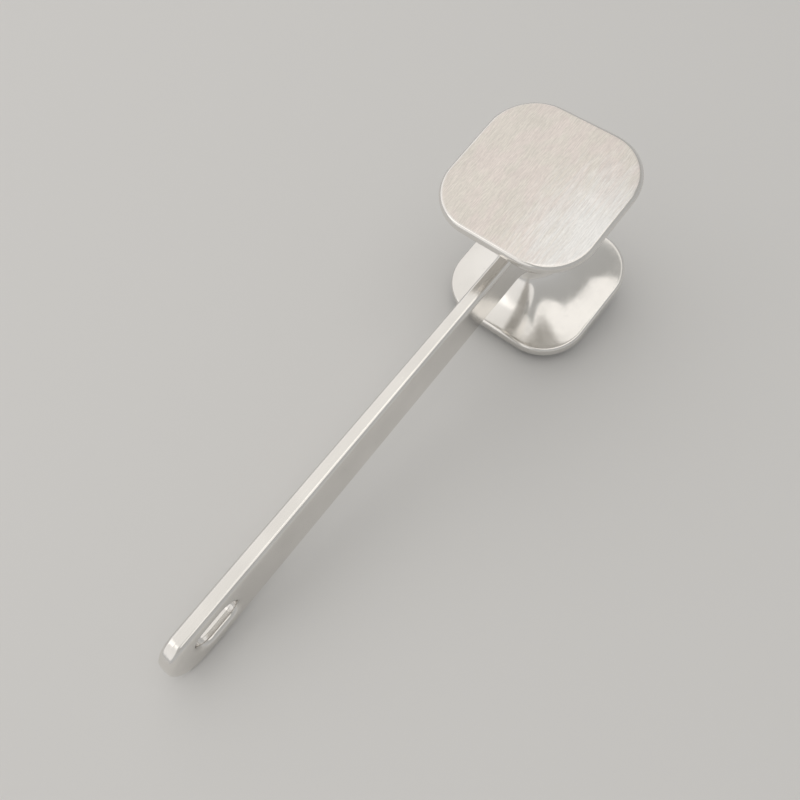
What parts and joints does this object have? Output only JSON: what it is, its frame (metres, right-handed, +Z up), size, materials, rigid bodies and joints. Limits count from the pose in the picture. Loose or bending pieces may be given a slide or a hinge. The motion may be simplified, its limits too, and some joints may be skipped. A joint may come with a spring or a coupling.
{
  "type": "meat tenderizer",
  "caption": "Double-sided meat tenderizer: square flat face and square toothed face on a waisted neck, with a flat bar handle on edge and a hanging slot.",
  "frame": {"origin": "on the table, under the middle of the tool as it lies at rest", "axes": "+Z up from the table, +X along the tool towards the handle's tip, Y across the handle's sides"},
  "size_m": [0.2376, 0.062, 0.0807],
  "materials": {
    "polished_aluminium": "cast, tumbled and polished",
    "ground_aluminium": "polished, with a fine ground grain on the striking face",
    "steel": "plain bright steel"
  },
  "bodies": {
    "root": {"handle": "polished_aluminium", "flat_head_half": "ground_aluminium", "toothed_head_half": "polished_aluminium", "tie_screw": "steel", "split_washer": "steel", "lower_dowel_front": "steel", "lower_dowel_rear": "steel", "upper_dowel_front": "steel", "upper_dowel_rear": "steel"}
  },
  "joints": []
}
